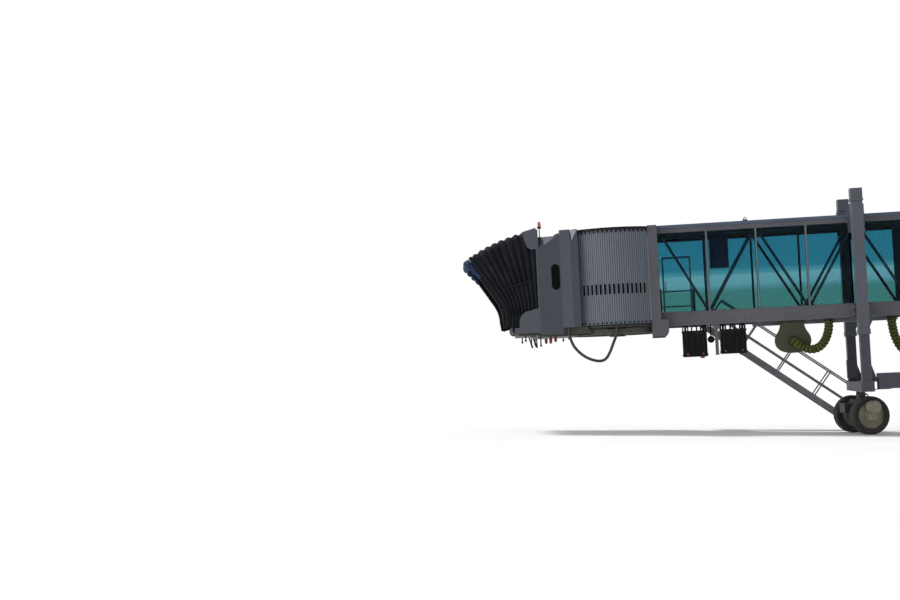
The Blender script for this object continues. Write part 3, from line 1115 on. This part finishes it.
for flip, part in ((1, path), (-1, mirrored)):
    for p, n, b, s in part:
        ends = min(1.0, 0.5 + (s - pad_from) * 0.9, 0.35 + (s - pad_from) / 0.07)
        depth = lobed(s, 0.235 * ends, lobe_pitch, 0.36)
        rings.append(ring(bm, p, n, b, pad_w, depth, lobed(s, 1, lobe_pitch, 1), flip))
skin_rings(bm, rings)
pad = put("canopy_pad", bm, pad_blue, cab_front, None, "canopy_pad", "canopy_front", sharp=50)
seams = pad.vertex_groups.new(name="seams")
stations = [s for _, _, _, s in path] + [s for _, _, _, s in mirrored]
for k, s in enumerate(stations):
    stitched = lobed(s, 1, lobe_pitch, 1) < 0.45 or k in (0, len(stations) - 1)
    held = [k * 20 + j for j in range(20) if stitched or math.sin(2 * math.pi * j / 20) * (1 if k < len(path)
            else -1) < -0.5]
    seams.add(held, 1.0, "REPLACE")
filling = pad.modifiers.new("filling", "CLOTH")
filling.settings.vertex_group_mass = "seams"
filling.settings.use_pressure = True
filling.settings.uniform_pressure_force = 4
filling.settings.effector_weights.gravity = 0
for step in range(1, 17):
    scene.frame_set(step)
swollen = pad.evaluated_get(bpy.context.evaluated_depsgraph_get()).to_mesh()
swell_most = 0.02
moves = [(new.co - old.co) for new, old in zip(swollen.vertices, pad.data.vertices)]
for vert, move in zip(pad.data.vertices, moves):
    vert.co += move * min(1.0, swell_most / max(move.length, 1e-6))
pad.modifiers.remove(filling)
scene.frame_set(1)
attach(pad, "canopy")
bm = bmesh.new()
for side in (-1, 1):
    outer_line, inner_line = [], []
    for i in range(49):
        s = front_run * i / 48
        at, toward = arm_front(s)
        outer_line.append(at - toward * arm_t)
        inner_line.append(at)
    for y in (side * (arm_y - 0.09), side * arm_y):
        for a, b, c, d in zip(outer_line, outer_line[1:], inner_line, inner_line[1:]):
            quad = [bm.verts.new((-p.x, y, p.y)) for p in (a, b, d, c)]
            bm.faces.new(quad)
    low, high = side * (arm_y - 0.09), side * arm_y
    for row in (outer_line, inner_line):
        for a, b in zip(row, row[1:]):
            bm.faces.new([bm.verts.new(q) for q in ((-a.x, low, a.y), (-b.x, low, b.y), (-b.x, high, b.y), (-a.x, high, a.y))])
bmesh.ops.remove_doubles(bm, verts=bm.verts[:], dist=0.0005)
put("canopy_arms", bm, rim_dark, cab_front, "canopy", "canopy_pad", "canopy_front", edge=0.006)

# A black rubber bumper with a D section is screwed along the edge of the cab's sill, so that it docks softly.
bumper = [(0.752, -0.002), (0.85, -0.006), (0.9, 0.012), (0.928, 0.06), (0.936, 0.125), (0.928, 0.19),
          (0.9, 0.238), (0.85, 0.256), (0.752, 0.252)]
bm = bmesh.new()
rows = [[bm.verts.new((-u, y, z)) for u, z in bumper] for y in (-1.31, -1.3, 1.3, 1.31)]
for row, shrink in ((rows[0], 0.92), (rows[3], 0.92)):
    for vert in row:
        vert.co.x = -0.752 + (vert.co.x + 0.752) * shrink
        vert.co.z = 0.125 + (vert.co.z - 0.125) * shrink
for a, b in zip(rows, rows[1:]):
    for k in range(len(bumper)):
        bm.faces.new((a[k], a[(k + 1) % len(bumper)], b[(k + 1) % len(bumper)], b[k]))
bm.faces.new(rows[0][::-1])
bm.faces.new(rows[-1])
put("sill_bumper", bm, rim_dark, cab_front, "cab", "dark_rim")
